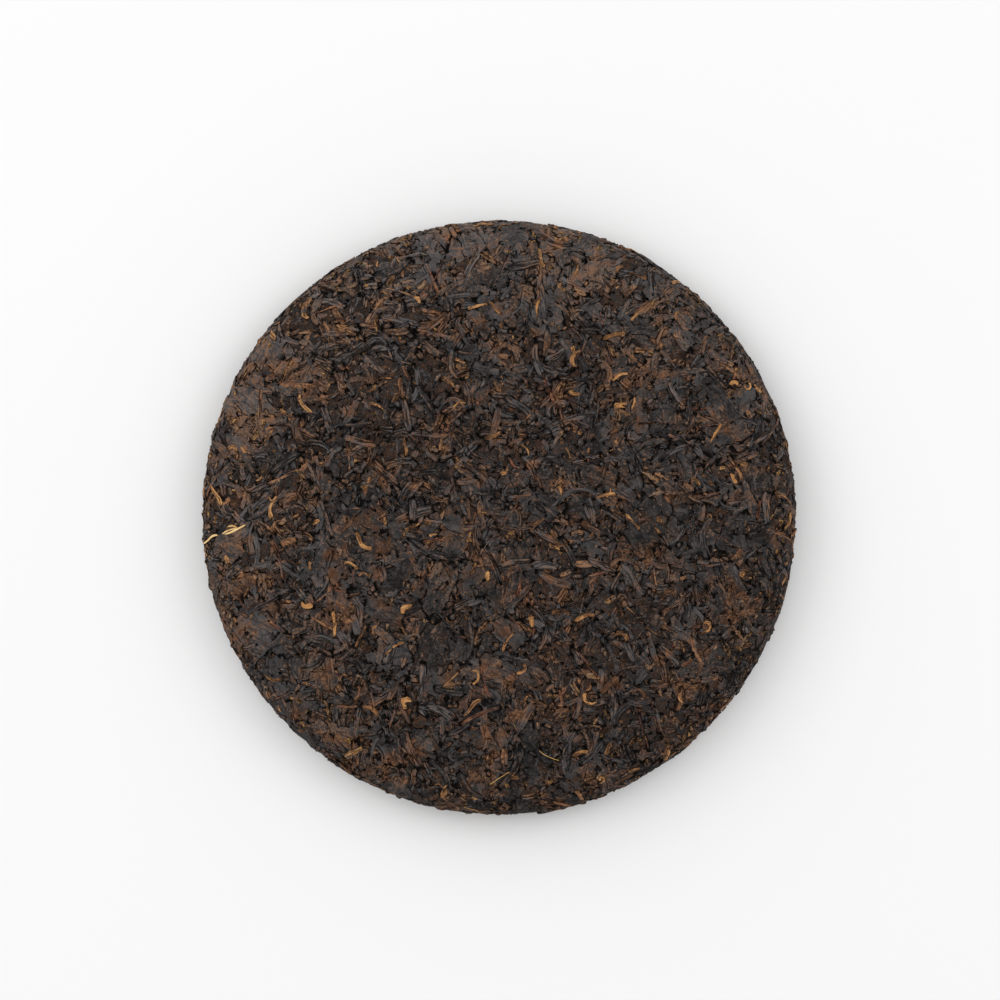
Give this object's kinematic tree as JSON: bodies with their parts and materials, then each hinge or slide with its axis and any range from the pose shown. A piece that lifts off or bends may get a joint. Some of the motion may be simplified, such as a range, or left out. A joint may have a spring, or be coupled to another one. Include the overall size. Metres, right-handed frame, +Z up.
{
  "type": "dark tea cake",
  "caption": "Flat round cake of pressed dark tea leaves, slightly domed on top, with a round dimple in the middle of its underside.",
  "frame": {"origin": "middle of the flat face that the cake rests on, below the middle of the disc", "axes": "+Z up out of the domed show side; the disc lies in the XY plane and looks alike all round, with +X to the right and +Y away as it is usually seen"},
  "size_m": [0.1994, 0.2002, 0.0244],
  "materials": {
    "pressed_tea": "rough pressed dried leaf, near black with brown and golden bits, faint dull sheen"
  },
  "bodies": {
    "root": {"tea_cake": "pressed_tea"}
  },
  "joints": []
}
